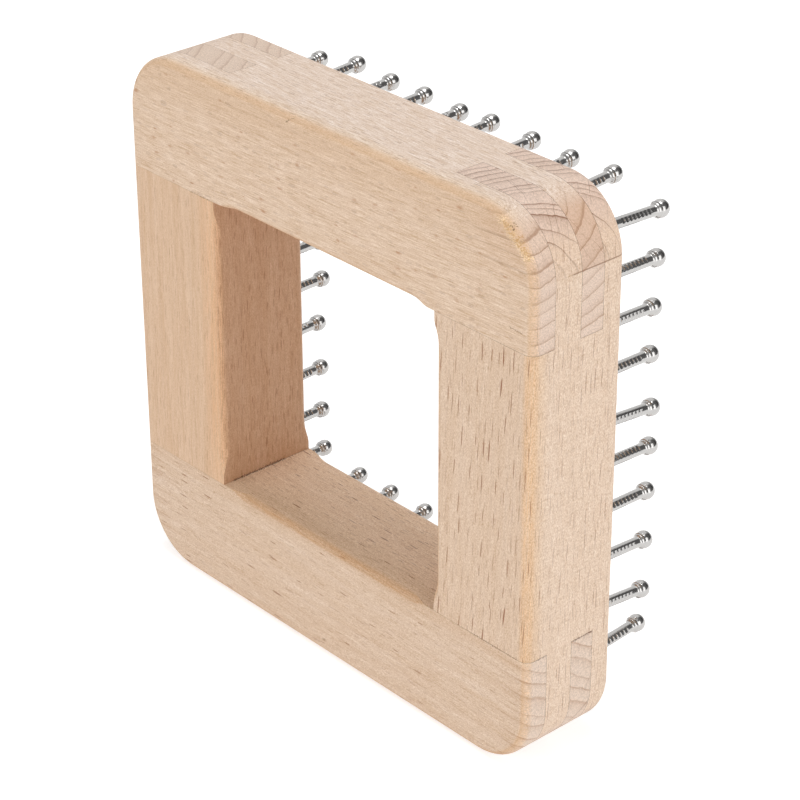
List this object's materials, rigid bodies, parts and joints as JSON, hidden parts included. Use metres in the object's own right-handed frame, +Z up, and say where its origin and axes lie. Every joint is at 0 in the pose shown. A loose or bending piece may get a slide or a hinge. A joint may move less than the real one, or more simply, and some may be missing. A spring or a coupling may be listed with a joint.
{
  "type": "knitting board",
  "caption": "Small square wooden frame, finger jointed at the corners, with a ring of round nails standing out of one face for looping yarn.",
  "frame": {"origin": "middle of the bottom edge that the board stands on, halfway through its thickness", "axes": "+X to the right seen from the plain front face, +Y from the front face to the back, the way the nails point, +Z up"},
  "size_m": [0.125, 0.0462, 0.125],
  "materials": {
    "beech": "sanded, unvarnished",
    "nail_steel": "bright polished wire"
  },
  "bodies": {
    "root": {"top_rail": "beech", "bottom_rail": "beech", "left_stile": "beech", "right_stile": "beech", "nail_top_1": "nail_steel", "nail_top_2": "nail_steel", "nail_top_3": "nail_steel", "nail_top_4": "nail_steel", "nail_top_5": "nail_steel", "nail_top_6": "nail_steel", "nail_top_7": "nail_steel", "nail_top_8": "nail_steel", "nail_bottom_1": "nail_steel", "nail_bottom_2": "nail_steel", "nail_bottom_3": "nail_steel", "nail_bottom_4": "nail_steel", "nail_bottom_5": "nail_steel", "nail_bottom_6": "nail_steel", "nail_bottom_7": "nail_steel", "nail_bottom_8": "nail_steel", "nail_left_1": "nail_steel", "nail_left_2": "nail_steel", "nail_left_3": "nail_steel", "nail_left_4": "nail_steel", "nail_left_5": "nail_steel", "nail_left_6": "nail_steel", "nail_left_7": "nail_steel", "nail_left_8": "nail_steel", "nail_left_9": "nail_steel", "nail_left_10": "nail_steel", "nail_right_1": "nail_steel", "nail_right_2": "nail_steel", "nail_right_3": "nail_steel", "nail_right_4": "nail_steel", "nail_right_5": "nail_steel", "nail_right_6": "nail_steel", "nail_right_7": "nail_steel", "nail_right_8": "nail_steel", "nail_right_9": "nail_steel", "nail_right_10": "nail_steel"}
  },
  "joints": []
}
